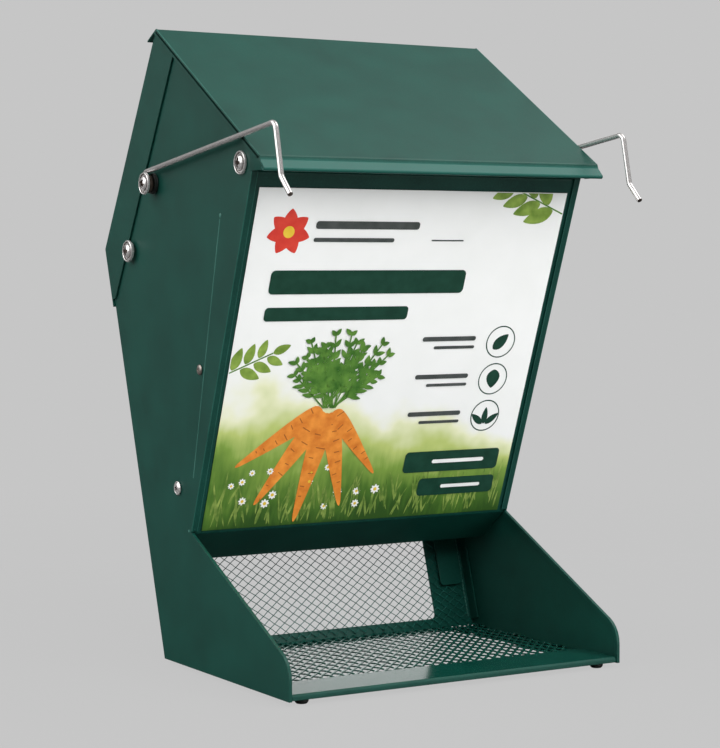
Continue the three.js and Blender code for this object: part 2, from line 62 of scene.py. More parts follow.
def aimCamera():
    heading, dip, roll = (math.radians(view[k]) for k in ("heading", "dip", "roll"))
    level = Vector((math.cos(heading), -math.sin(heading), 0))
    forward = Vector((math.sin(heading) * math.cos(dip), math.cos(heading) * math.cos(dip), -math.sin(dip)))
    turn = Matrix((level, level.cross(forward), -forward)).transposed() @ Matrix.Rotation(roll, 3, "Z")
    camera = newObject("camera", bpy.data.cameras.new("camera"))
    camera.data.sensor_width = view["filmSize"]
    camera.data.lens = view["focal"] * view["filmSize"] / view["frameHeight"]
    camera.matrix_world = Matrix.Translation(view["place"]) @ turn.to_4x4()
    bpy.context.scene.camera = camera


aimCamera()
print("camera aimed")


# Materials. Patterns are in object coordinates, so a scale of 1000 is a millimetre.
def newMaterial(name):
    material = bpy.data.materials.new(name)
    material.use_nodes = True
    return material


# Gives a socket its link or its value, and a colour its alpha
def feed(material, socket, value):
    if isinstance(value, bpy.types.NodeSocket):
        material.node_tree.links.new(value, socket)
    else:
        socket.default_value = (*value, 1) if socket.type == "RGBA" else value


def addNode(material, kind, inputs=None, **settings):
    node = material.node_tree.nodes.new("ShaderNode" + kind)
    for setting, value in settings.items():
        setattr(node, setting, value)
    for socket, value in (inputs or {}).items():
        feed(material, node.inputs[socket], value)
    return node


def feedShader(material, inputs):
    shader = material.node_tree.nodes["Principled BSDF"]
    for socket, value in inputs.items():
        feed(material, shader.inputs[socket], value)


def objectPlace(material):
    return addNode(material, "TexCoord").outputs["Object"]


def noiseAt(material, place, scale, detail, stretch=(1, 1, 1)):
    fit = addNode(material, "Mapping", {"Vector": place, "Scale": stretch})
    inputs = {"Vector": fit.outputs["Vector"], "Scale": scale, "Detail": detail}
    return addNode(material, "TexNoise", inputs).outputs["Fac"]


def partOf(material, vector, axis):
    return addNode(material, "SeparateXYZ", {0: vector}).outputs[axis]


def ranged(material, source, low, high, fromLow=0.3, fromHigh=0.7, **settings):
    span = {"Value": source, "From Min": fromLow, "From Max": fromHigh, "To Min": low, "To Max": high}
    return addNode(material, "MapRange", span, **settings).outputs["Result"]


def blended(material, share, dark, pale):
    return addNode(material, "Mix", {"Factor": share, 6: dark, 7: pale}, data_type="RGBA").outputs[2]


def mathOf(material, operation, first, second):
    return addNode(material, "Math", {0: first, 1: second}, operation=operation).outputs["Value"]


def bumped(material, height, strength, distance, ease=0, samples=4):
    inputs = {"Height": height, "Strength": strength, "Distance": distance}
    if ease:  # rounds the folds and cut edges where they catch the light
        inputs["Normal"] = addNode(material, "Bevel", {"Radius": ease}, samples=samples).outputs["Normal"]
    feedShader(material, {"Normal": addNode(material, "Bump", inputs).outputs["Normal"]})


def paintMaterial(name, look):
    material = newMaterial(name)
    place = objectPlace(material)
    cloud = noiseAt(material, place, look["cloudScale"], 3)
    grain = noiseAt(material, place, look["grainScale"], 2)
    colour = blended(material, ranged(material, cloud, 0, 1), look["dark"], look["pale"])
    flecks = ranged(material, grain, 0, look["fleck"], *look["fleckRange"])
    colour = blended(material, flecks, colour, look["fleckColour"])
    if "lipHighlightDepth" in look:  # painted highlight: ahead of this depth the lip is painted paler, where it catches more light
        depth = partOf(material, place, "Y")
        ahead = ranged(material, depth, look["lipHighlightShare"], 0, look["lipHighlightDepth"] - look["lipHighlightEase"], look["lipHighlightDepth"])
        colour = blended(material, ahead, colour, look["lipHighlightColour"])
    roughness = ranged(material, grain, *look["roughness"])
    if "topRoughness" in look:  # where the sheet lies level
        facing = partOf(material, addNode(material, "TexCoord").outputs["Normal"], "Z")
        level = ranged(material, facing, 0, 1, *look["levelRange"])
        smoother = mathOf(material, "SUBTRACT", roughness, look["topRoughness"])
        roughness = mathOf(material, "SUBTRACT", roughness, mathOf(material, "MULTIPLY", smoother, level))
    feedShader(material, {
        "Base Color": colour, "Roughness": roughness, "Specular IOR Level": look["specular"],
        "Coat Weight": look["gloss"], "Coat Roughness": look["glossRoughness"],
    })
    bumped(material, grain, look["bump"], look["bumpDepth"], look["ease"])
    return material


panelPaint = {
    "dark": (0.0022, 0.036, 0.0265), "pale": (0.0034, 0.049, 0.036), "cloudScale": 45, "grainScale": 1500,
    "fleck": 0.42, "fleckRange": (0.45, 0.75), "fleckColour": (0.012, 0.092, 0.07),
    "roughness": (0.36, 0.48), "specular": 0.3, "gloss": 0.0, "glossRoughness": 0.1, "bump": 0.25,
    "bumpDepth": 0.05 * mm, "ease": 0.4 * mm,
}
# The lid's coat, with its lip painted paler as a painted highlight
lidPaint = dict(
    panelPaint, lipHighlightDepth=-75.5 * mm, lipHighlightEase=0.4 * mm, lipHighlightShare=0.6, lipHighlightColour=(0.006, 0.095, 0.075),
)
stripPaint = dict(
    panelPaint, roughness=(0.6, 0.75), topRoughness=0.13, levelRange=(0.93, 0.995), specular=0.4, bump=0.06,
)
# A pale coat for painted highlights on creases, beads, spots and folds
paleHighlightPaint = dict(
    panelPaint, dark=(0.030, 0.115, 0.092), pale=(0.055, 0.165, 0.135), roughness=(0.3, 0.42), ease=0,
)
# A slightly darker pale coat: painted highlights along the roof edges and the front corner folds
seamHighlightPaint = dict(paleHighlightPaint, dark=(0.012, 0.085, 0.064), pale=(0.022, 0.115, 0.09))
shadePaint = dict(
    panelPaint, dark=(0.0008, 0.008, 0.006), pale=(0.0012, 0.012, 0.009), fleck=0.02, roughness=(0.8, 0.9),
    specular=0.05, ease=0,
)
netPaint = dict(
    panelPaint, dark=(0.004, 0.050, 0.037), pale=(0.006, 0.072, 0.054), cloudScale=60, grainScale=2400,
    fleck=0.1, fleckColour=(0.015, 0.09, 0.07), roughness=(0.14, 0.24), specular=0.8, gloss=0.6,
    glossRoughness=0.08, bump=0.1, bumpDepth=0.02 * mm, ease=0,
)
# The back net's strands painted paler than the floor net's, as painted light on strands that catch it
backNetLitPaint = dict(netPaint, dark=(0.008, 0.078, 0.060), pale=(0.013, 0.110, 0.088), gloss=0.3)
steelLook = {
    "metallic": 0.72, "dark": (0.68, 0.655, 0.645), "pale": (0.74, 0.715, 0.705), "roughness": (0.24, 0.28),
    "stainScale": 260, "scratchScale": 500, "scratchStretch": (1, 0.25, 0.25), "bump": 0.015,
    "bumpDepth": 0.01 * mm,
}
wireLook = dict(
    steelLook, metallic=0.76, dark=(0.61, 0.587, 0.578), pale=(0.65, 0.626, 0.617), roughness=(0.2, 0.22),
    bump=0.005,
)
# Dark steel as painted shade: in the cross recesses, the screws' grooves, and the hooks' eyes and cut ends
shadeSteelLook = dict(
    steelLook, metallic=0.3, dark=(0.028, 0.018, 0.014), pale=(0.09, 0.065, 0.05), roughness=(0.45, 0.7),
    scratchScale=1500, bump=0.2, bumpDepth=0.03 * mm,
)
rivetLook = dict(
    shadeSteelLook, metallic=0.8, dark=(0.16, 0.135, 0.12), pale=(0.34, 0.30, 0.27), roughness=(0.34, 0.5), bump=0.1,
)
rubberLook = dict(
    panelPaint, dark=(0.006, 0.007, 0.006), pale=(0.014, 0.016, 0.014), cloudScale=300, grainScale=2600,
    fleck=0.1, fleckColour=(0.03, 0.034, 0.03), roughness=(0.38, 0.6), specular=0.5, glossRoughness=0.2,
    bump=0.3, bumpDepth=0.04 * mm, ease=0,
)


def steelMaterial(name, look):
    material = newMaterial(name)
    place = objectPlace(material)
    stain = noiseAt(material, place, look["stainScale"], 3)
    scratch = noiseAt(material, place, look["scratchScale"], 3, look["scratchStretch"])
    feedShader(material, {
        "Base Color": blended(material, ranged(material, stain, 0, 1), look["dark"], look["pale"]),
        "Roughness": ranged(material, scratch, *look["roughness"]),
        "Metallic": look["metallic"],
    })
    bumped(material, scratch, look["bump"], look["bumpDepth"])
    return material


panelCoat = paintMaterial("panel coat", panelPaint)
stripCoat = paintMaterial("trough strip coat", stripPaint)
paleHighlightCoat = paintMaterial("pale highlight coat", paleHighlightPaint)
lidCoat = paintMaterial("lid coat", lidPaint)
seamHighlightCoat = paintMaterial("seam highlight coat", seamHighlightPaint)
shadeCoat = paintMaterial("shaded coat", shadePaint)
netCoat = paintMaterial("net coat", netPaint)
backNetLitCoat = paintMaterial("back net lit coat", backNetLitPaint)
brightSteel = steelMaterial("bright steel", steelLook)
wireSteel = steelMaterial("wire steel", wireLook)
shadeSteel = steelMaterial("painted shade steel", shadeSteelLook)
rivetSteel = steelMaterial("rivet steel", rivetLook)
blackRubber = paintMaterial("black rubber", rubberLook)
print("materials mixed")


# Mesh helpers
weldDistance = 0.0005 * mm


def meshData(name, mesh):
    data = bpy.data.meshes.new(name)
    mesh.to_mesh(data)
    mesh.free()
    return data


def finishPiece(name, mesh, body, materials, stands=(), sharp=35):
    bmesh.ops.recalc_face_normals(mesh, faces=mesh.faces)
    data = meshData(name, mesh)
    data.shade_smooth()
    data.set_sharp_from_angle(angle=math.radians(sharp))
    piece = newObject(name, data)
    for material in materials:
        data.materials.append(material)
    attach(piece, body)
    if stands:
        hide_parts(*stands)


def moved(mesh, verts, matrix):
    bmesh.ops.transform(mesh, matrix=matrix, verts=list(verts))


def allOf(mesh):
    return list(mesh.verts) + list(mesh.edges) + list(mesh.faces)


def onlyOf(kind, geom):
    return [g for g in geom if isinstance(g, kind)]


# Cuts off what lies beyond a plane that faces away from the middle, as far out as reach
def trimmed(mesh, reach):
    away = Vector(reach).normalized()
    cut = bmesh.ops.bisect_plane(mesh, geom=allOf(mesh), plane_co=reach, plane_no=away, clear_outer=True)
    return onlyOf(bmesh.types.BMEdge, cut["geom_cut"])


# Gives flat faces their thickness
def raised(mesh, along):
    grown = bmesh.ops.extrude_face_region(mesh, geom=list(mesh.faces))["geom"]
    bmesh.ops.translate(mesh, verts=onlyOf(bmesh.types.BMVert, grown), vec=along)
    bmesh.ops.recalc_face_normals(mesh, faces=mesh.faces)


def roundSharpEdges(mesh, width, angle, segments=2):
    least = math.radians(angle)
    edges = [e for e in mesh.edges if len(e.link_faces) == 2 and e.calc_face_angle(0) > least]
    bmesh.ops.bevel(
        mesh, geom=edges, offset=width, offset_type="OFFSET", segments=segments, profile=0.5,
        affect="EDGES", clamp_overlap=True, material=-1,
    )


# A profile of (radius, height) spun about X
def spunPart(profile, steps):
    mesh = bmesh.new()
    ring = [mesh.verts.new((height * mm, radius * mm, 0)) for radius, height in profile]
    edges = [mesh.edges.new(pair) for pair in zip(ring, ring[1:])]
    bmesh.ops.spin(
        mesh, geom=ring + edges, cent=(0, 0, 0), axis=(1, 0, 0), dvec=(0, 0, 0),
        angle=2 * math.pi, steps=steps, use_merge=True, use_duplicate=False,
    )
    bmesh.ops.remove_doubles(mesh, verts=mesh.verts, dist=weldDistance)
    bmesh.ops.recalc_face_normals(mesh, faces=mesh.faces)
    return mesh


sideNames = {1: "right", -1: "left"}


# From a part's own frame, with its axis along X, to a side of the feeder
def sideMatrix(side, across, depth, height, turn=0):
    mirror = Matrix.Diagonal((side, 1, 1, 1))
    place = Matrix.Translation((side * across * mm, depth * mm, height * mm))
    return place @ mirror @ Matrix.Rotation(math.radians(turn), 4, "X")


def sideRoute(side, across, points):
    return [Vector((side * across, y, z)) * mm for y, z in points]


def stationAt(route, i, side):
    along = (route[min(i + 1, len(route) - 1)] - route[max(i - 1, 0)]).normalized()
    turn = Matrix((side, along.cross(side), along)).transposed()
    return Matrix.Translation(route[i]) @ turn.to_4x4()


# A closed strand pushed along a flat route, whose plane faces along side.
# Its section is as wide as it is tall where the two agree, and squarer below a fullness of 1.
def wireAlong(route, width, height, sides, side, fullness=1):
    mesh = bmesh.new()
    turn = Matrix.Rotation(math.pi / sides, 4, "Z")
    bmesh.ops.create_circle(mesh, cap_ends=True, radius=1, segments=sides, matrix=turn)
    for vert in mesh.verts:
        vert.co.x = math.copysign(abs(vert.co.x) ** fullness, vert.co.x) * width / 2
        vert.co.y = math.copysign(abs(vert.co.y) ** fullness, vert.co.y) * height / 2
    here = stationAt(route, 0, side)
    moved(mesh, mesh.verts, here)
    mesh.faces.ensure_lookup_table()
    end = mesh.faces[0]
    for i in range(1, len(route)):
        there = stationAt(route, i, side)
        grown = bmesh.ops.extrude_face_region(mesh, geom=[end])["geom"]
        end = onlyOf(bmesh.types.BMFace, grown)[0]
        moved(mesh, end.verts, there @ here.inverted())
        here = there
    return mesh


# Sheet metal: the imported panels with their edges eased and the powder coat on
edgeEase = {
    "weld": 0.002 * mm, "flatAngle": 0.6, "width": 0.34 * mm, "segments": 2, "sharpAngle": 38,
    "flatShare": 80,
}
panels = {name: panelCoat for name in (
    "left_side_panel", "right_side_panel", "front_panel", "rear_cover", "lower_back_panel", "left_net_clip",
    "right_net_clip", "left_lid_ear", "right_lid_ear",
)}
panels.update(trough_strip=stripCoat, lid=lidCoat, left_cover_washer=brightSteel, right_cover_washer=brightSteel)


def easeEdges(piece):
    for face in piece.data.polygons:
        face.use_smooth = True
    weld = piece.modifiers.new("weld", "WELD")
    weld.merge_threshold = edgeEase["weld"]
    flat = piece.modifiers.new("flat faces", "DECIMATE")
    flat.decimate_type = "DISSOLVE"
    flat.angle_limit = math.radians(edgeEase["flatAngle"])
    bevel = piece.modifiers.new("eased edges", "BEVEL")
    bevel.width = edgeEase["width"]
    bevel.segments = edgeEase["segments"]
    bevel.limit_method = "ANGLE"
    bevel.angle_limit = math.radians(edgeEase["sharpAngle"])
    bevel.use_clamp_overlap = True
    steady = piece.modifiers.new("flat shading", "WEIGHTED_NORMAL")
    steady.weight = edgeEase["flatShare"]
    steady.keep_sharp = False


def coat(node, material):
    node.data.materials.clear()
    node.data.materials.append(material)


for name, material in panels.items():
    coat(nodes[name], material)
    easeEdges(nodes[name])
print("panels coated")


# Screws: a flanged head with a raised rim, two grooves in painted shade, a domed crown and a cross recess in
# painted shade.
# Profiles are (radius, height) from the face that the head sits on.
screwShape = {
    "steps": 56, "shank": 2.0, "tailChamfer": 0.4,
    "head": [
        (6.0, 0), (6.0, 0.55), (5.9, 1.0), (5.6, 1.28), (5.3, 1.25), (5.05, 1.0), (4.95, 0.66), (4.72, 0.6),
        (4.1, 0.72), (3.95, 0.66), (3.78, 0.95), (3.6, 1.35), (3.2, 1.7), (2.6, 1.97), (1.8, 2.17), (0.9, 2.27),
        (0, 2.3),
    ],
    "grooves": [(4.74, 5.06), (3.8, 4.08)],
    "grooveFacing": 0.2, "recessReach": 3.0, "recessWidth": 1.9, "recessDepth": 1.3, "recessTaper": 0.5,
    "topHeight": 2.3, "cutterRise": 0.5,
}
# The faces under each head and at the outside of its nut, the screw's tail, and how far both are turned
screwPlaces = {
    "lid": {"axis": (-52.419, 263.973), "underside": 100.3, "tail": 93.0, "nutFace": 97.8, "turns": (8, 12)},
    "hook": {"axis": (47.529, 257.073), "underside": 105.7, "tail": 94.1, "nutFace": 98.9, "turns": (31, 40)},
    "cover": {"axis": (76.425, 221.3), "underside": 102.3, "tail": 94.1, "nutFace": 98.9, "turns": (3, 22)},
}


def recessCutter(shape):
    mesh = bmesh.new()
    for turn in (0, 90):
        made = bmesh.ops.create_cube(mesh, size=1)["verts"]
        for vert in made:
            floor = vert.co.x < 0
            narrow = shape["recessTaper"] if floor else 1
            rise = -shape["recessDepth"] if floor else shape["cutterRise"]
            vert.co.x = (shape["topHeight"] + rise) * mm
            vert.co.y *= 2 * shape["recessReach"] * narrow * mm
            vert.co.z *= shape["recessWidth"] * (1 + narrow) / 2 * mm
        bmesh.ops.rotate(mesh, verts=made, cent=(0, 0, 0), matrix=Matrix.Rotation(math.radians(turn), 3, "X"))
    return mesh


# The part with the cutter's shape taken out of it, its cut faces in the cutter's material
def cutAway(mesh, cutter, materials, selfCrossing=True):
    blank, tool = newObject("blank", meshData("blank", mesh)), newObject("tool", meshData("tool", cutter))
    for piece, material in zip((blank, tool), materials):
        piece.data.materials.append(material)
    cut = blank.modifiers.new("cut", "BOOLEAN")
    cut.operation = "DIFFERENCE"
    cut.object = tool
    cut.solver = "EXACT"
    cut.use_self = selfCrossing
    cut.material_mode = "TRANSFER"
    shown = blank.evaluated_get(bpy.context.evaluated_depsgraph_get())
    result = bmesh.new()
    result.from_mesh(shown.to_mesh())
    for piece in (blank, tool):
        bpy.data.objects.remove(piece)
    return result


def makeScrew(name, place, side):
    shape = screwShape
    tail, chamfer = place["tail"] - place["underside"], shape["tailChamfer"]
    shank = [(0, tail), (shape["shank"] - chamfer, tail), (shape["shank"], tail + chamfer), (shape["shank"], 0)]
    head = spunPart(shank + shape["head"], shape["steps"])
    mesh = cutAway(head, recessCutter(shape), (brightSteel, shadeSteel))
    # Outward-facing faces in the grooves take the dark steel as painted shade
    for face in mesh.faces:
        radius = face.calc_center_median().yz.length / mm
        inGroove = any(inner < radius < outer for inner, outer in shape["grooves"])
        if face.normal.x > shape["grooveFacing"] and inGroove:
            face.material_index = 1
    moved(mesh, mesh.verts, sideMatrix(side, place["underside"], *place["axis"], place["turns"][0]))
    node = sideNames[side] + "_" + name + "_screw"
    finishPiece(node + "_head", mesh, "housing", (brightSteel, shadeSteel), [node])


# Nuts: chamfered hexagons
nutShape = {
    "across": 7, "thickness": 3.2, "bore": 2.15, "boreSteps": 32, "overrun": 1, "chamfer": 0.45, "sharpAngle": 50,
}


def makeNut(name, place, side):
    shape = nutShape
    low, high = -shape["overrun"], shape["thickness"] + shape["overrun"]
    bore = spunPart([(0, low), (shape["bore"], low), (shape["bore"], high), (0, high)], shape["boreSteps"])
    block = bmesh.new()
    onX = Matrix.Rotation(math.radians(90), 4, "Y")
    corner = shape["across"] / 2 / math.cos(math.radians(30)) * mm
    bmesh.ops.create_circle(block, cap_ends=True, radius=corner, segments=6, matrix=onX)
    raised(block, (shape["thickness"] * mm, 0, 0))
    roundSharpEdges(block, shape["chamfer"] * mm, shape["sharpAngle"])
    mesh = cutAway(block, bore, (brightSteel, brightSteel), False)
    across = place["nutFace"] - shape["thickness"]
    moved(mesh, mesh.verts, sideMatrix(side, across, *place["axis"], place["turns"][1]))
    node = sideNames[side] + "_" + name + "_nut"
    finishPiece(node + "_hex", mesh, "housing", (brightSteel, brightSteel), [node])


for name, place in screwPlaces.items():
    for side in sideNames:
        makeScrew(name, place, side)
        makeNut(name, place, side)
print("screws driven and nuts run on")

# Small round parts: the spacer wheels, throat screws, rivets and feet
spacerShape = {
    "profile": [
        (2.3, 0.15), (2.45, 0), (5.1, 0), (5.5, 0.22), (5.6, 0.6), (5.3, 0.85), (5.3, 1.15), (5.6, 1.4),
        (5.5, 1.8), (5.1, 2.0), (4.2, 2.0), (3.9, 1.8), (3.2, 1.8), (2.9, 2.0), (2.45, 2.0), (2.3, 1.85),
        (2.3, 0.15),
    ],
    "steps": 56, "underside": 100.3, "axis": (47.529, 257.073),
}
throatScrewShape = {
    "profile": [
        (0, -4.7), (1.3, -4.7), (1.5, -4.5), (1.5, 0), (3.5, 0), (3.65, 0.2), (3.6, 0.6), (3.35, 0.82),
        (3.05, 0.78), (2.8, 0.66), (2.5, 0.95), (1.9, 1.18), (1.2, 1.28), (0, 1.3),
    ],
    "steps": 40, "recessReach": 1.75, "recessWidth": 0.85, "recessDepth": 0.75, "recessTaper": 0.6,
    "topHeight": 1.3, "cutterRise": 0.5, "underside": 100.3, "axis": (20.953, 96.0), "turn": 20,
}
rivetShape = {
    "profile": [
        (0, -4.7), (1.3, -4.7), (1.5, -4.5), (1.5, 0), (2.6, 0), (2.7, 0.2), (2.5, 0.56), (1.95, 0.84),
        (1.3, 0.97), (0.95, 0.93), (0.8, 0.6), (0, 0.55),
    ],
    "steps": 40, "underside": 100.3, "axis": (-5.458, 159.5),
}
footShape = {
    "profile": [
        (0, 0), (2.1, 0), (2.6, 0.12), (3.2, 0.7), (3.5, 1.4), (3.5, 1.9), (3.3, 2.2), (1.5, 2.2), (1.5, 3.3),
        (0, 3.3),
    ],
    "steps": 40,
    "places": {"front_foot": (89.5, -92.208), "rear_foot": (89.5, 33.792)},
}


def setOnSide(mesh, shape, side):
    place = sideMatrix(side, shape["underside"], *shape["axis"], shape.get("turn", 0))
    moved(mesh, mesh.verts, place)
    return mesh


def turned(shape):
    return spunPart(shape["profile"], shape["steps"])


for side, sideName in sideNames.items():
    node = sideName + "_hook_spacer"
    mesh = setOnSide(turned(spacerShape), spacerShape, side)
    finishPiece(node + "_wheel", mesh, "housing", [blackRubber], [node])

    node = sideName + "_throat_screw"
    mesh = cutAway(turned(throatScrewShape), recessCutter(throatScrewShape), (brightSteel, shadeSteel))
    setOnSide(mesh, throatScrewShape, side)
    finishPiece(node + "_head", mesh, "housing", (brightSteel, shadeSteel), [node])

    node = sideName + "_side_rivet"
    mesh = setOnSide(turned(rivetShape), rivetShape, side)
    finishPiece(node + "_head", mesh, "housing", [rivetSteel], [node])

    for name, (across, depth) in footShape["places"].items():
        node = sideName + "_" + name
        mesh = turned(footShape)
        upright = Matrix.Rotation(math.radians(-90), 4, "Y")
        moved(mesh, mesh.verts, Matrix.Translation(Vector((side * across, depth, 0)) * mm) @ upright)
        finishPiece(node + "_dome", mesh, "housing", [blackRubber], [node])
print("spacers, small screws, rivets and feet turned")


# Wire hooks
hookShape = {
    "axis": (47.529, 257.073), "plane": 104.0, "wire": 1.4, "sides": 20, "eye": 3.7, "eyeStart": 110,
    "leg": 6.6, "arm": 147.0, "armHeading": 172.8, "drop": 27.0, "dropHeading": 257.5, "tip": 12.4,
    "tipHeading": 225, "bends": (3.0, 4.0, 3.5), "facet": 6, "endEase": 0.18, "sharpAngle": 60,
}


def towards(heading, distance):
    turn = math.radians(heading)
    return Vector((0, math.cos(turn), math.sin(turn))) * distance


def arcAbout(centre, radius, start, turn, facet):
    steps = max(1, math.ceil(abs(turn) / facet))
    return [centre + towards(start + turn * i / steps, radius) for i in range(steps + 1)]


def headingFrom(one, other):
    return math.degrees(math.atan2(other.z - one.z, other.y - one.y))


# The arc that rounds a corner of a route in the side view
def bend(before, corner, after, radius, facet):
    heading = headingFrom(before, corner)
    turn = (headingFrom(corner, after) - heading + 180) % 360 - 180
    hand = math.copysign(1, turn)
    reach = radius * math.tan(math.radians(abs(turn) / 2))
    centre = corner + towards(heading + 180, reach) + towards(heading + hand * 90, radius)
    return arcAbout(centre, radius, heading - hand * 90, turn, facet)


def hookRoute(shape):
    axis = Vector((0, *shape["axis"]))
    eyeEnd = axis + towards(0, shape["eye"])
    lift = shape["leg"] - shape["eye"] * math.tan(math.radians(180 - shape["armHeading"]))
    heel = eyeEnd + towards(90, lift)
    apex = heel + towards(shape["armHeading"], shape["arm"])
    kink = apex + towards(shape["dropHeading"], shape["drop"])
    end = kink + towards(shape["tipHeading"], shape["tip"])
    route = arcAbout(axis, shape["eye"], shape["eyeStart"], 360 - shape["eyeStart"], shape["facet"])
    corners = [eyeEnd, heel, apex, kink, end]
    for i, radius in enumerate(shape["bends"], 1):
        route += bend(corners[i - 1], corners[i], corners[i + 1], radius, shape["facet"])
    return [point * mm for point in route + [end]]


# The cut ends and the eye under the screw's head take the dark steel as painted shade
def isPaintedShade(face):
    centre = face.calc_center_median()
    depth, height = hookShape["axis"]
    fromAxis = math.hypot(centre.y - depth * mm, centre.z - height * mm)
    return len(face.verts) > 4 or fromAxis < (hookShape["eye"] + hookShape["wire"]) * mm


for side, sideName in sideNames.items():
    thick = 2 * hookShape["wire"] * mm
    mesh = wireAlong(hookRoute(hookShape), thick, thick, hookShape["sides"], Vector((1, 0, 0)))
    bmesh.ops.recalc_face_normals(mesh, faces=mesh.faces)
    for face in mesh.faces:
        if isPaintedShade(face):
            face.material_index = 1
    roundSharpEdges(mesh, hookShape["endEase"] * mm, hookShape["sharpAngle"])
    bmesh.ops.translate(mesh, verts=mesh.verts, vec=(side * hookShape["plane"] * mm, 0, 0))
    node = sideName + "_hook"
    finishPiece(node + "_wire", mesh, node, [wireSteel, shadeSteel], [node])
print("hooks bent")


# Nets: two families of strands, each over and under its neighbours.
# The crossings are the steps from one crossing to the next along a strand of each family.
netThickness = 1.1  # of the solid nets
netShapes = {
    "floor_net": {
        "material": netCoat, "lean": 0,
        "crossings": ((0.85, -5.13), (-5.68, -6.1)),
        "width": 1.5, "thick": 0.82, "crimp": 0.13, "sides": 8, "fullness": 0.6, "flatShare": 0.25,
        "sharp": 30,
    },
    "back_net": {
        "material": backNetLitCoat, "lean": 72.4,
        "crossings": ((3.15, 2.375), (-3.15, 2.375)),
        "width": 0.44, "thick": 0.44, "crimp": 0.22, "sides": 6, "fullness": 1, "flatShare": 0.2,
        "sharp": 70,
    },
}


# The strands that run along one step of the net, a strand's width from each other by the other step
def strandFamily(shape, along, step, size, over):
    pitch = along.length
    ahead, beside = along / pitch, Vector((-along.y, along.x)) / pitch
    if step.dot(beside) < 0:
        step = -step
    reachAlong = (size.x * abs(ahead.x) + size.y * abs(ahead.y)) / 2
    reachBeside = (size.x * abs(beside.x) + size.y * abs(beside.y)) / 2
    count = math.ceil(reachAlong / pitch) + 2
    flat = shape["flatShare"] * pitch
    route = []
    for k in range(-count, count + 1):
        rise = over * shape["crimp"] * mm * (-1 if k % 2 else 1)
        route += [Vector((k * pitch - flat, 0, rise)), Vector((k * pitch + flat, 0, rise))]
    width, thick = shape["width"] * mm, shape["thick"] * mm
    mesh = wireAlong(route, width, thick, shape["sides"], Vector((0, 1, 0)), shape["fullness"])
    strand = allOf(mesh)
    copies = math.ceil(reachBeside / step.dot(beside)) + 1
    for k in range(-copies, copies + 1):
        if k == 0:
            continue
        verts = onlyOf(bmesh.types.BMVert, bmesh.ops.duplicate(mesh, geom=strand)["geom"])
        slid = round(k * step.dot(ahead) / pitch)
        if (k + slid) % 2:
            bmesh.ops.rotate(mesh, verts=verts, cent=(0, 0, 0), matrix=Matrix.Rotation(math.pi, 3, "X"))
        bmesh.ops.translate(mesh, verts=verts, vec=(k * step.dot(ahead) - slid * pitch, k * step.dot(beside), 0))
    heading = Matrix.Rotation(math.atan2(ahead.y, ahead.x), 3, "Z")
    bmesh.ops.rotate(mesh, verts=mesh.verts, cent=(0, 0, 0), matrix=heading)
    return mesh


def wovenNet(shape, width, length):
    one, other = (Vector(step) * mm for step in shape["crossings"])
    mesh = strandFamily(shape, one, other, Vector((width, length)), 1)
    crossing = strandFamily(shape, other, one, Vector((width, length)), -1)
    held = meshData("strands", crossing)
    mesh.from_mesh(held)
    bpy.data.meshes.remove(held)
    for reach in ((width / 2, 0, 0), (-width / 2, 0, 0), (0, length / 2, 0), (0, -length / 2, 0)):
        bmesh.ops.holes_fill(mesh, edges=trimmed(mesh, reach), sides=0)
    return mesh


for node, shape in netShapes.items():
    low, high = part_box(node)
    lean = math.radians(shape["lean"])
    size = high - low
    thickness = netThickness * mm * math.sin(2 * lean)  # in the box of a net that leans
    length = size.y * math.cos(lean) + size.z * math.sin(lean) - thickness
    mesh = wovenNet(shape, size.x, length)
    moved(mesh, mesh.verts, Matrix.Translation((low + high) / 2) @ Matrix.Rotation(lean, 4, "X"))
    finishPiece(node + "_wires", mesh, "housing", [shape["material"]], [node], shape["sharp"])
print("nets woven")


# Thin lines on both sides: a crease and a bead down each rear corner, painted pale as highlights, pale painted
# highlights along the outer folds, and painted shade under the lid's skirts
thinLines = {
    "crease": {
        "body": "housing", "coat": paleHighlightCoat, "across": 100.0, "width": 0.3, "height": 0.7, "sides": 12,
        "line": [(-28.46, 236.7), (-12.5, 170.0), (3.4, 102.9)],
    },
    "corner_bead": {
        "body": "housing", "coat": paleHighlightCoat, "across": 96.2, "width": 0.8, "height": 0.8, "sides": 10,
        "line": [(40.0, 8.5), (51.7, 45.3), (58.4, 66.4)],
    },
    "roof_edge": {
        "body": "lid", "coat": seamHighlightCoat, "across": 102.0, "width": 0.55, "height": 0.5, "sides": 12,
        "line": [(-74.6, 266.75), (39.6, 337.9)],
    },
    "skirt_shade": {
        "body": "lid", "coat": shadeCoat, "across": 102.05, "width": 0.5, "height": 1.5, "sides": 12,
        "line": [(-73.9, 265.56), (40.4, 336.7)],
    },
    "strip_edge": {
        "body": "housing", "coat": seamHighlightCoat, "across": 96.55, "width": 0.4, "height": 0.36, "sides": 12,
        "line": [(-63.1, 259.3), (6.0, 74.5)],
    },
    "corner_edge": {
        "body": "housing", "coat": seamHighlightCoat, "across": 99.8, "width": 0.5, "height": 0.5, "sides": 12,
        "line": [(-63.05, 259.4), (6.05, 74.7)],
    },
}

for name, shape in thinLines.items():
    for side, sideName in sideNames.items():
        route = sideRoute(side, shape["across"], shape["line"])
        mesh = wireAlong(route, shape["width"] * mm, shape["height"] * mm, shape["sides"], Vector((1, 0, 0)))
        finishPiece(sideName + "_" + name, mesh, shape["body"], [shape["coat"]])
print("creases, beads and seams drawn")

# A dimple and a spot weld on each side, in the pale coat as painted highlights. The crown is in shares of a
# spot's radius and height.
spots = {
    "dimple": {"at": (-28.9, 238.4), "radius": 1.1, "height": 0.3},
    "weld_1": {"at": (8.9, 74.4), "radius": 0.95, "height": 0.22},
}
spotShape = {"face": 100.0, "foot": -0.1, "crown": [(0.97, 0.3), (0.7, 0.8), (0, 1)], "steps": 24}

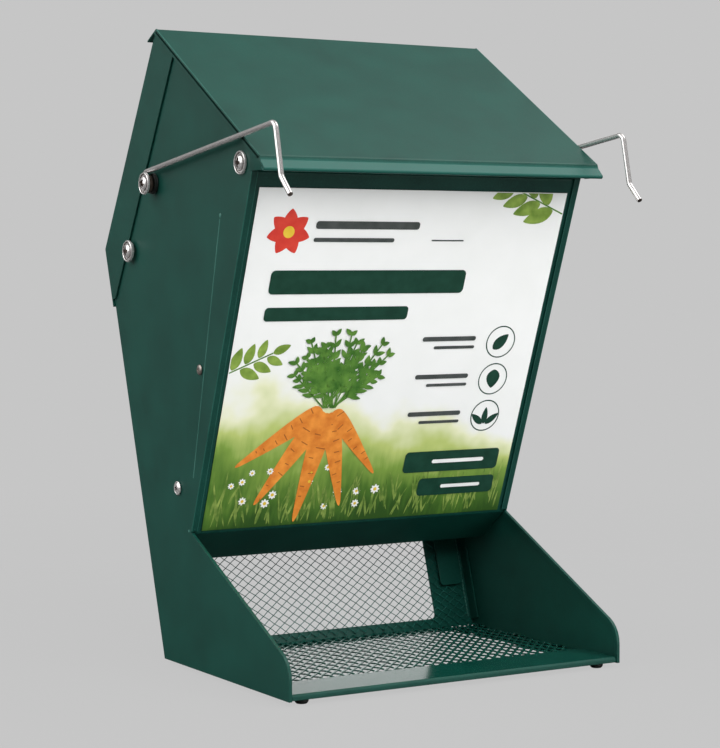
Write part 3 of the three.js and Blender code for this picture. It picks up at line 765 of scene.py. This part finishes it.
for name, spot in spots.items():
    foot, radius, height = spotShape["foot"], spot["radius"], spot["height"]
    crown = [(radius * out, height * up) for out, up in spotShape["crown"]]
    for side, sideName in sideNames.items():
        mesh = spunPart([(0, foot), (radius, foot)] + crown, spotShape["steps"])
        moved(mesh, mesh.verts, sideMatrix(side, spotShape["face"], *spot["at"]))
        finishPiece(sideName + "_" + name, mesh, "housing", [paleHighlightCoat])
print("spots pressed")

# End plates that close the lid's lip on both sides
lipEnd = {
    "inner": 101.35, "outer": 102.05,
    "outline": [(-64.6, 272.4), (-74.6, 266.3), (-76.2, 264.0), (-79.5, 260.3), (-78.6, 259.3), (-64.6, 259.3)],
    "ease": 0.15, "sharpAngle": 50,
}

for side, sideName in sideNames.items():
    mesh = bmesh.new()
    corners = [mesh.verts.new(corner) for corner in sideRoute(side, lipEnd["inner"], lipEnd["outline"])]
    bmesh.ops.contextual_create(mesh, geom=corners)
    raised(mesh, (side * (lipEnd["outer"] - lipEnd["inner"]) * mm, 0, 0))
    roundSharpEdges(mesh, lipEnd["ease"] * mm, lipEnd["sharpAngle"])
    finishPiece(sideName + "_lip_end", mesh, "lid", [panelCoat])
print("lip ends closed")

# Studio: an even backdrop for the camera, and a graded room for light and reflections
backdrop = {
    "shade": 0.565, "roomShades": (0.13, 0.29), "roomRise": (-0.2, 0.8), "glow": 0.98,
    "glowHeading": (0.5, 0.86, 0.10), "glowRange": (0.94, 0.975), "floorRadius": 3.0, "floorSides": 96,
    "floorShades": (0.36, 0.52, 0.07),  # to the camera, to the room and in reflections
    "floorGlow": 0.93, "fadeRange": (0.32, 1.0),
}


def greyOf(shade):
    return (shade, shade, shade)


def mattOf(material, shade):
    return addNode(material, "BsdfDiffuse", {"Color": greyOf(shade)}).outputs["BSDF"]


def mixedShader(material, share, first, second):
    return addNode(material, "MixShader", {"Fac": share, 1: first, 2: second}).outputs["Shader"]


def lightWorld():
    world = bpy.data.worlds.new("studio")
    world.use_nodes = True
    room = world.node_tree.nodes["Background"]
    even = addNode(world, "Background", {"Color": greyOf(backdrop["shade"])})
    way = addNode(world, "TexCoord").outputs["Generated"]
    rise = ranged(world, partOf(world, way, "Z"), *backdrop["roomShades"], *backdrop["roomRise"])
    towardsGlow = Vector(backdrop["glowHeading"]).normalized()
    facing = addNode(world, "VectorMath", {0: way, 1: towardsGlow}, operation="DOT_PRODUCT")
    glow = ranged(world, facing.outputs["Value"], 0, backdrop["glow"], *backdrop["glowRange"])
    feed(world, room.inputs["Color"], mathOf(world, "ADD", rise, glow))
    ray = addNode(world, "LightPath").outputs["Is Camera Ray"]
    seen = mixedShader(world, ray, room.outputs["Background"], even.outputs["Background"])
    feed(world, world.node_tree.nodes["World Output"].inputs["Surface"], seen)
    bpy.context.scene.world = world


def layFloor():
    mesh = bmesh.new()
    bmesh.ops.create_circle(mesh, cap_ends=True, radius=backdrop["floorRadius"], segments=backdrop["floorSides"])
    floor = newObject("floor", meshData("floor", mesh))
    material = newMaterial("floor")
    tree = material.node_tree
    tree.nodes.remove(tree.nodes["Principled BSDF"])
    matt, dim, dark = (mattOf(material, shade) for shade in backdrop["floorShades"])
    even = addNode(material, "Emission", {"Color": greyOf(backdrop["shade"])}).outputs["Emission"]
    clear = addNode(material, "BsdfTransparent").outputs["BSDF"]
    ray = addNode(material, "LightPath").outputs
    distance = addNode(material, "VectorMath", {0: objectPlace(material)}, operation="LENGTH").outputs["Value"]
    fade = ranged(material, distance, 0, 1, *backdrop["fadeRange"], interpolation_type="SMOOTHSTEP")
    seen = mixedShader(material, backdrop["floorGlow"], matt, even)
    unseen = mixedShader(material, ray["Is Glossy Ray"], dim, dark)
    lit = mixedShader(material, ray["Is Camera Ray"], unseen, seen)
    feed(material, tree.nodes["Material Output"].inputs["Surface"], mixedShader(material, fade, lit, clear))
    coat(floor, material)


softBoxes = {
    "overhead": {"place": (0.8, -0.25, 1.5), "aim": (0, -0.1, 0.22), "size": (1.2, 1.0), "power": 10.5},
    "left": {"place": (-1.4, 0.3, 1.15), "aim": (0, 0, 0.2), "size": (2.3, 1.9), "power": 38},
    "front": {"place": (0.2, -1.45, 1.35), "aim": (0, 0, 0.2), "size": (2.0, 1.2), "power": 40, "hidden": True},
    "right": {"place": (1.0, -1.6, 0.3), "aim": (0, 0, 0.22), "size": (0.9, 0.8), "power": 6},
}


def hangLights():
    for name, box in softBoxes.items():
        light = bpy.data.lights.new(name, "AREA")
        light.shape = "RECTANGLE"
        light.size, light.size_y = box["size"]
        light.energy = box["power"]
        lamp = newObject(name, light)
        away = Vector(box["place"]) - Vector(box["aim"])
        lamp.matrix_world = Matrix.Translation(box["place"]) @ away.to_track_quat("Z", "Y").to_matrix().to_4x4()
        lamp.visible_glossy = "hidden" not in box  # from reflections


lightWorld()
layFloor()
hangLights()
bpy.context.scene.view_settings.view_transform = "Standard"
print("studio lit")

# Label: a white film printed with a soft meadow, and flat motifs laid on it.
# Its own frame is millimetres across from the middle and up from the lower edge.
labelFilm = {
    "lean": 20.5, "thickness": 0.2, "white": (0.86, 0.87, 0.862), "mottle": (0.83, 0.842, 0.83),
    "mottleScale": 40,
    "meadowLeft": 96.0,  # height of the meadow's top at each edge
    "meadowRight": 50.0, "halfWidth": 93.8,
    "printReach": ((93.4, 0, 0), (-93.4, 0, 0), (0, 188.9, 0)),  # no sprig hangs over the film's edges
    "ramp": [
        (0.0, (0.030, 0.085, 0.014)), (0.22, (0.070, 0.165, 0.022)), (0.45, (0.20, 0.33, 0.055)),
        (0.64, (0.47, 0.56, 0.17)), (0.82, (0.78, 0.80, 0.55)), (1.0, (0.86, 0.87, 0.862)),
    ],
    "drift": (26, 3, 1, 0.16),  # the meadow's soft top: scale, detail, stretch and height
    "tufts": (90, 3, 0.4, 0.06), "blades": (420, 2, 0.16, 0.07), "grassRange": (0.1, 0.7),
    "whiteRange": (0.8, 1.0), "inkScale": 160, "fineScale": 900, "roughness": (0.36, 0.46), "specular": 0.3,
    "bump": 0.05, "bumpDepth": 0.01 * mm, "lift": 0.025, "film": 0.02,
}
labelLean = math.radians(labelFilm["lean"])
outward = Vector((0, -math.cos(labelLean), -math.sin(labelLean)))
upward = Vector((0, -math.sin(labelLean), math.cos(labelLean)))
labelLow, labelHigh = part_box("front_label")
labelFoot = Vector((0, labelHigh.y - labelFilm["thickness"] * mm * math.cos(labelLean), labelLow.z))


# Object coordinates turned to lie on the label: X across, Y up the film
def labelPlace(material):
    shift, turn = (0, -labelFoot.dot(upward), -labelFoot.dot(outward)), (-math.pi / 2 - labelLean, 0, 0)
    inputs = {"Vector": objectPlace(material), "Location": shift, "Rotation": turn}
    return addNode(material, "Mapping", inputs).outputs["Vector"]


# The finish that the film and the inks share, still without a colour
def printedMaterial(name):
    material = newMaterial(name)
    place = labelPlace(material)
    fine = noiseAt(material, place, labelFilm["fineScale"], 2)
    roughness = ranged(material, fine, *labelFilm["roughness"])
    feedShader(material, {"Roughness": roughness, "Specular IOR Level": labelFilm["specular"]})
    return material, place, fine


def printedFilm():
    look = labelFilm
    material, place, fine = printedMaterial("printed film")
    left, right, half = (look[k] * mm for k in ("meadowLeft", "meadowRight", "halfWidth"))
    top = ranged(material, partOf(material, place, "X"), left, right, -half, half)
    share = mathOf(material, "DIVIDE", partOf(material, place, "Y"), top)
    layers = []
    for scale, detail, stretch, height in (look["drift"], look["tufts"], look["blades"]):
        noise = noiseAt(material, place, scale, detail, (1, stretch, 1))
        layers.append(ranged(material, noise, -height, height))
    drift, tufts, blades = layers
    grassy = ranged(material, share, 1, 0, *look["grassRange"])
    streaks = mathOf(material, "MULTIPLY", mathOf(material, "ADD", tufts, blades), grassy)
    shifted = mathOf(material, "ADD", mathOf(material, "ADD", share, drift), streaks)
    ramp = addNode(material, "ValToRGB", {"Fac": shifted})
    steps = ramp.color_ramp.elements
    for i, (at, colour) in enumerate(look["ramp"]):
        step = steps[i] if i < 2 else steps.new(at)
        step.position = at
        step.color = (*colour, 1)
    cover = ranged(material, shifted, 0, 1, *look["whiteRange"])
    cloud = ranged(material, noiseAt(material, place, look["mottleScale"], 2), 0, 1)
    ground = blended(material, cloud, look["mottle"], look["white"])
    feedShader(material, {"Base Color": blended(material, cover, ramp.outputs["Color"], ground)})
    bumped(material, fine, look["bump"], look["bumpDepth"])
    return material


coat(nodes["front_label"], printedFilm())


# Inks for the motifs: two shades with a soft mottle
inks = {
    "deep_green": ((0.006, 0.040, 0.024), (0.010, 0.058, 0.036)),
    "leaf_green": ((0.12, 0.22, 0.025), (0.27, 0.40, 0.07)),
    "fern_green": ((0.035, 0.13, 0.015), (0.12, 0.27, 0.04)),
    "blade_green": ((0.055, 0.14, 0.018), (0.30, 0.40, 0.09)),
    "vermilion": ((0.60, 0.035, 0.022), (0.68, 0.055, 0.032)),
    "orange": ((0.62, 0.17, 0.018), (0.85, 0.31, 0.045)),
    "umber": ((0.30, 0.075, 0.012), (0.42, 0.12, 0.02)),
    "white": ((0.82, 0.83, 0.82), (0.87, 0.875, 0.865)),
    "yellow": ((0.72, 0.47, 0.03), (0.82, 0.60, 0.06)),
    "grey": ((0.045, 0.055, 0.052), (0.075, 0.085, 0.082)),
}


def inkOf(name):
    material, place, _ = printedMaterial("ink " + name.replace("_", " "))
    cloud = ranged(material, noiseAt(material, place, labelFilm["inkScale"], 3), 0, 1)
    feedShader(material, {"Base Color": blended(material, cloud, *inks[name])})
    return material


inkMaterials = {name: inkOf(name) for name in inks}


def onLabel(across, up, turn=0, rise=0):
    return Matrix.Translation((across, up, rise)) @ Matrix.Rotation(math.radians(turn), 4, "Z")


motifShape = {"leafSteps": 22, "leafFullness": 0.28, "ringSteps": 56, "cornerSteps": 6}


# A flat leaf from its stem end, pointed at both ends and fuller towards the stem
def addLeaf(mesh, place, length, width, steps=motifShape["leafSteps"], curl=0.0):
    verts = bmesh.ops.create_circle(mesh, cap_ends=True, radius=1, segments=steps)["verts"]
    for vert in verts:
        along, beside = vert.co.x, vert.co.y
        share = (along + 1) / 2
        full = math.sqrt(max(0, 1 - along * along)) ** 0.5 * (1 - motifShape["leafFullness"] * along)
        vert.co.x = share * length
        vert.co.y = beside * full * width / 2 + curl * length * share ** 2
    moved(mesh, verts, place)


def addDisc(mesh, place, radius, steps):
    bmesh.ops.create_circle(mesh, cap_ends=True, radius=radius, segments=steps, matrix=place)


def addRing(mesh, place, radius, width):
    before = set(mesh.faces)
    addDisc(mesh, place, radius, motifShape["ringSteps"])
    disc = [face for face in mesh.faces if face not in before]
    bmesh.ops.inset_region(mesh, faces=disc, thickness=width, use_even_offset=True, use_boundary=True)
    bmesh.ops.delete(mesh, geom=disc, context="FACES")


def addBar(mesh, place, width, height, radius):
    verts = bmesh.ops.create_grid(mesh, x_segments=1, y_segments=1, size=0.5)["verts"]
    moved(mesh, verts, place @ Matrix.Diagonal((width, height, 1, 1)))
    bmesh.ops.bevel(
        mesh, geom=verts, offset=radius, offset_type="OFFSET", segments=motifShape["cornerSteps"], profile=0.5,
        affect="VERTICES", clamp_overlap=True, material=-1,
    )


def printMotif(name, mesh, ink, layer=0):
    up = labelFilm["lift"] * (1 + layer) * mm
    plane = Matrix(((mm, 0, 0), (0, mm * upward.y, mm * outward.y), (0, mm * upward.z, mm * outward.z))).to_4x4()
    moved(mesh, mesh.verts, Matrix.Translation(labelFoot + outward * up) @ plane)
    bmesh.ops.solidify(mesh, geom=list(mesh.faces), thickness=labelFilm["film"] * mm)
    finishPiece("label_" + name, mesh, "housing", [inkMaterials[ink]])


# Two leafy sprigs: a stem with leaves in pairs
sprigs = {
    "top": {"root": (97, 176), "heading": 158, "length": 62, "leaves": 5, "leaf": (19, 8.6), "spread": 42},
    "left": {"root": (-97, 88), "heading": 24, "length": 30, "leaves": 3, "leaf": (13, 6.0), "spread": 48},
}
# Along the stem in shares of its length, the tip and shrink in shares of the first leaf, the rest in millimetres
sprigShape = {
    "stem": (0.8, 0.3),  # its width and the radius of its ends
    "firstLeaf": 0.16, "leafSpan": 0.8, "stagger": 4.5, "stalk": 1.2, "shrink": 0.09, "tipSize": 0.8,
    "rise": 0.01, "tipRise": 0.12,
}


def makeSprig(name, sprig):
    shape = sprigShape
    leaves, stems = bmesh.new(), bmesh.new()
    root = onLabel(*sprig["root"], sprig["heading"])
    length, (leafLength, leafWidth) = sprig["length"], sprig["leaf"]
    addBar(stems, root @ onLabel(length / 2, 0), length, *shape["stem"])
    for i in range(sprig["leaves"]):
        at = length * (shape["firstLeaf"] + shape["leafSpan"] * i / sprig["leaves"])
        size = 1 - shape["shrink"] * i
        for hand in (1, -1):
            place = root @ onLabel(at + (0 if hand > 0 else shape["stagger"]), 0, hand * sprig["spread"])
            stalk = onLabel(shape["stalk"], 0, 0, shape["rise"] * (2 * i + (hand > 0)))
            addLeaf(leaves, place @ stalk, leafLength * size, leafWidth * size)
    tip = root @ onLabel(length, 0, 0, shape["tipRise"])
    addLeaf(leaves, tip, leafLength * shape["tipSize"], leafWidth * shape["tipSize"])
    for mesh in (leaves, stems):
        for reach in labelFilm["printReach"]:
            trimmed(mesh, reach)
    printMotif(name + "_sprig_stem", stems, "fern_green")
    printMotif(name + "_sprig_leaves", leaves, "leaf_green", 1)


for name, sprig in sprigs.items():
    makeSprig(name, sprig)


# Plain blocks of ink (across, up, width, height, corner), three round signs with leaves in them, and a flower
blocks = {
    "deep_green": [
        (-20, 139, 118, 13, 2.6), (-36, 121.5, 86, 7.5, 2.0), (55, 33, 62, 12.5, 2.4), (61, 17.5, 50, 10.5, 2.4),
    ],
    "grey": [
        (-27, 170, 62, 4.2, 1.6), (-34, 162, 48, 2.2, 1.0), (23, 162, 20, 0.7, 0.3), (37, 106, 34, 2.6, 1.2),
        (41, 101, 26, 1.7, 0.8), (37, 84, 34, 2.6, 1.2), (41, 79, 26, 1.7, 0.8), (37, 62, 34, 2.6, 1.2),
        (41, 57, 26, 1.7, 0.8),
    ],
    "white": [(59, 33, 34, 2.2, 1.0), (64, 17.5, 26, 2.0, 0.9)],
}
blockLayers = {"deep_green": 9, "grey": 9, "white": 12}
signs = {
    "across": 71, "up": (103.5, 81.5, 59.5), "radius": 9.4, "line": 0.7,
    "leaves": [  # the sign, then across, up, turn and rise, then length and width
        (0, (-4.2, -4.2, 45, 0), (12, 6.6)),
        (1, (0, 5.6, -90, 0), (11, 8.4)),
        (2, (0, -5.0, 90, 0), (10, 3.8)),
        (2, (1, -5.0, 38, 0.01), (10, 3.8)),
        (2, (-1, -5.0, 142, 0.02), (10, 3.8)),
    ],
}
flower = {"at": (-73, 166), "petals": 7, "petal": (12.5, 8.2), "rise": 0.003, "heart": 3.2, "heartSteps": 32}

for ink, bars in blocks.items():
    mesh = bmesh.new()
    for across, up, width, height, radius in bars:
        addBar(mesh, onLabel(across, up), width, height, radius)
    printMotif("bars_" + ink, mesh, ink, blockLayers[ink])

rings, glyphs = bmesh.new(), bmesh.new()
for up in signs["up"]:
    addRing(rings, onLabel(signs["across"], up), signs["radius"], signs["line"])
for sign, (across, up, turn, rise), size in signs["leaves"]:
    addLeaf(glyphs, onLabel(signs["across"] + across, signs["up"][sign] + up, turn, rise), *size)
printMotif("sign_rings", rings, "deep_green", 1)
printMotif("sign_glyphs", glyphs, "deep_green", 1)

petals, heart = bmesh.new(), bmesh.new()
for i in range(flower["petals"]):
    turn = 90 + 360 * i / flower["petals"]
    addLeaf(petals, onLabel(*flower["at"], turn, flower["rise"] * i), *flower["petal"])
addDisc(heart, onLabel(*flower["at"]), flower["heart"], flower["heartSteps"])
printMotif("flower_petals", petals, "vermilion", 1)
printMotif("flower_heart", heart, "yellow", 4)

# A bunch of carrots lying in the meadow
carrots = {
    "seed": 11, "crown": (-30, 70),
    "roots": [  # heading, length, width
        (-146, 56, 14.5), (-122, 62, 16.5), (-98, 64, 17), (-74, 58, 15), (-50, 50, 13),
    ],
    "rootSteps": 44, "neck": 5, "fullness": 1.02, "taper": 0.8, "taperCurve": 0.85,
    "bluntness": (0.35, 0.45), "rings": 7, "ringSpan": (0.1, 0.78), "ringWander": 0.03,
    "ringReach": (0.5, 0.95), "ringOffset": 0.45, "ringTurn": 7, "ringLine": (0.55, 0.2),
}
carrotTops = {
    "count": 24, "spread": 56, "length": (26, 44), "foot": (4, 2), "rise": 0.008, "stem": (0.8, 0.2),
    "leafPairs": 5, "leafSpan": (0.35, 0.15), "leafTurn": (28, 50), "leafLength": (5, 8),
    "leafShrink": (1.1, 0.1), "leafWidth": 2.6, "leafRise": 0.002, "leafSteps": 12,
}


def makeCarrots():
    shape, top = carrots, carrotTops
    chance = random.Random(shape["seed"])
    x, y = shape["crown"]
    least, bluntness = shape["bluntness"]
    first, span = shape["ringSpan"]
    for layer, (heading, length, width) in enumerate(shape["roots"]):
        root, lines = bmesh.new(), bmesh.new()
        place = onLabel(x, y, heading) @ onLabel(shape["neck"], 0)
        bmesh.ops.create_circle(root, cap_ends=True, radius=1, segments=shape["rootSteps"])
        for vert in root.verts:
            along = (vert.co.x + 1) / 2
            full = shape["fullness"] - shape["taper"] * along ** shape["taperCurve"]
            vert.co.y *= width / 2 * full / max(least, math.sqrt(1 - vert.co.x ** 2)) ** bluntness
            vert.co.x = along * length
        moved(root, root.verts, place)
        for i in range(shape["rings"]):
            at = first + span * i / shape["rings"] + chance.uniform(-shape["ringWander"], shape["ringWander"])
            reach = width / 2 * (1 - shape["taper"] * at) * chance.uniform(*shape["ringReach"])
            hand = chance.choice((1, -1))
            turn = 90 + chance.uniform(-shape["ringTurn"], shape["ringTurn"])
            spot = onLabel(at * length, hand * reach * shape["ringOffset"], turn)
            addBar(lines, place @ spot, reach, *shape["ringLine"])
        printMotif("carrot_%d" % (layer + 1), root, "orange", 2 + 2 * layer)
        printMotif("carrot_lines_%d" % (layer + 1), lines, "umber", 3 + 2 * layer)
    leaves = bmesh.new()
    wander, drop = top["foot"]
    first, step = top["leafSpan"]
    whole, less = top["leafShrink"]
    for i in range(top["count"]):
        heading = 90 + chance.uniform(-top["spread"], top["spread"])
        length = chance.uniform(*top["length"])
        place = onLabel(x + chance.uniform(-wander, wander), y - drop, heading, top["rise"] * i)
        addBar(leaves, place @ onLabel(length / 2, 0), length, *top["stem"])
        for k in range(top["leafPairs"]):
            for hand in (1, -1):
                turn = hand * chance.uniform(*top["leafTurn"])
                size = chance.uniform(*top["leafLength"]) * (whole - less * k), top["leafWidth"]
                leaf = place @ onLabel(length * (first + step * k), 0, turn, top["leafRise"] * k)
                addLeaf(leaves, leaf, *size, top["leafSteps"])
    printMotif("carrot_tops", leaves, "fern_green", 12)


makeCarrots()

# Grass blades and small daisies along the foot of the film
meadow = {
    "seed": 5, "edge": 93.2, "blades": 150, "bladeAcross": 91, "bladeFoot": (1.2, 16), "bladeTurn": 22,
    "blade": (7, 20), "bladeWidth": (0.8, 1.5), "bladeCurl": 0.12, "bladeSteps": 12, "bladeRise": 0.0008,
    "daisies": 15, "daisyAcross": (-88, 22), "daisyUp": (6, 34), "daisySize": (0.7, 1.15), "petals": 8,
    "petal": (2.7, 1.5), "petalTurn": 6, "petalRise": 0.003, "petalSteps": 10, "heart": 0.95,
    "heartSteps": 14,
}


def makeMeadow():
    shape = meadow
    chance = random.Random(shape["seed"])
    blades, petals, hearts = bmesh.new(), bmesh.new(), bmesh.new()
    foot, rise = shape["bladeFoot"]
    for i in range(shape["blades"]):
        across = chance.uniform(-shape["bladeAcross"], shape["bladeAcross"])
        up = foot + rise * chance.random() ** 2
        turn = 90 + chance.uniform(-shape["bladeTurn"], shape["bladeTurn"])
        size = chance.uniform(*shape["blade"]), chance.uniform(*shape["bladeWidth"])
        curl = chance.uniform(-shape["bladeCurl"], shape["bladeCurl"])
        addLeaf(blades, onLabel(across, up, turn, shape["bladeRise"] * i), *size, shape["bladeSteps"], curl)
    for edge in (shape["edge"], -shape["edge"]):
        trimmed(blades, (edge, 0, 0))
    for i in range(shape["daisies"]):
        across, up = chance.uniform(*shape["daisyAcross"]), chance.uniform(*shape["daisyUp"])
        size = chance.uniform(*shape["daisySize"])
        length, width = (measure * size for measure in shape["petal"])
        for k in range(shape["petals"]):
            turn = 360 * k / shape["petals"] + chance.uniform(-shape["petalTurn"], shape["petalTurn"])
            place = onLabel(across, up, turn, shape["petalRise"] * k)
            addLeaf(petals, place, length, width, shape["petalSteps"])
        addDisc(hearts, onLabel(across, up), shape["heart"] * size, shape["heartSteps"])
    printMotif("grass_blades", blades, "blade_green", 1)
    printMotif("daisy_petals", petals, "white", 5)
    printMotif("daisy_hearts", hearts, "yellow", 7)


makeMeadow()
print("label printed")
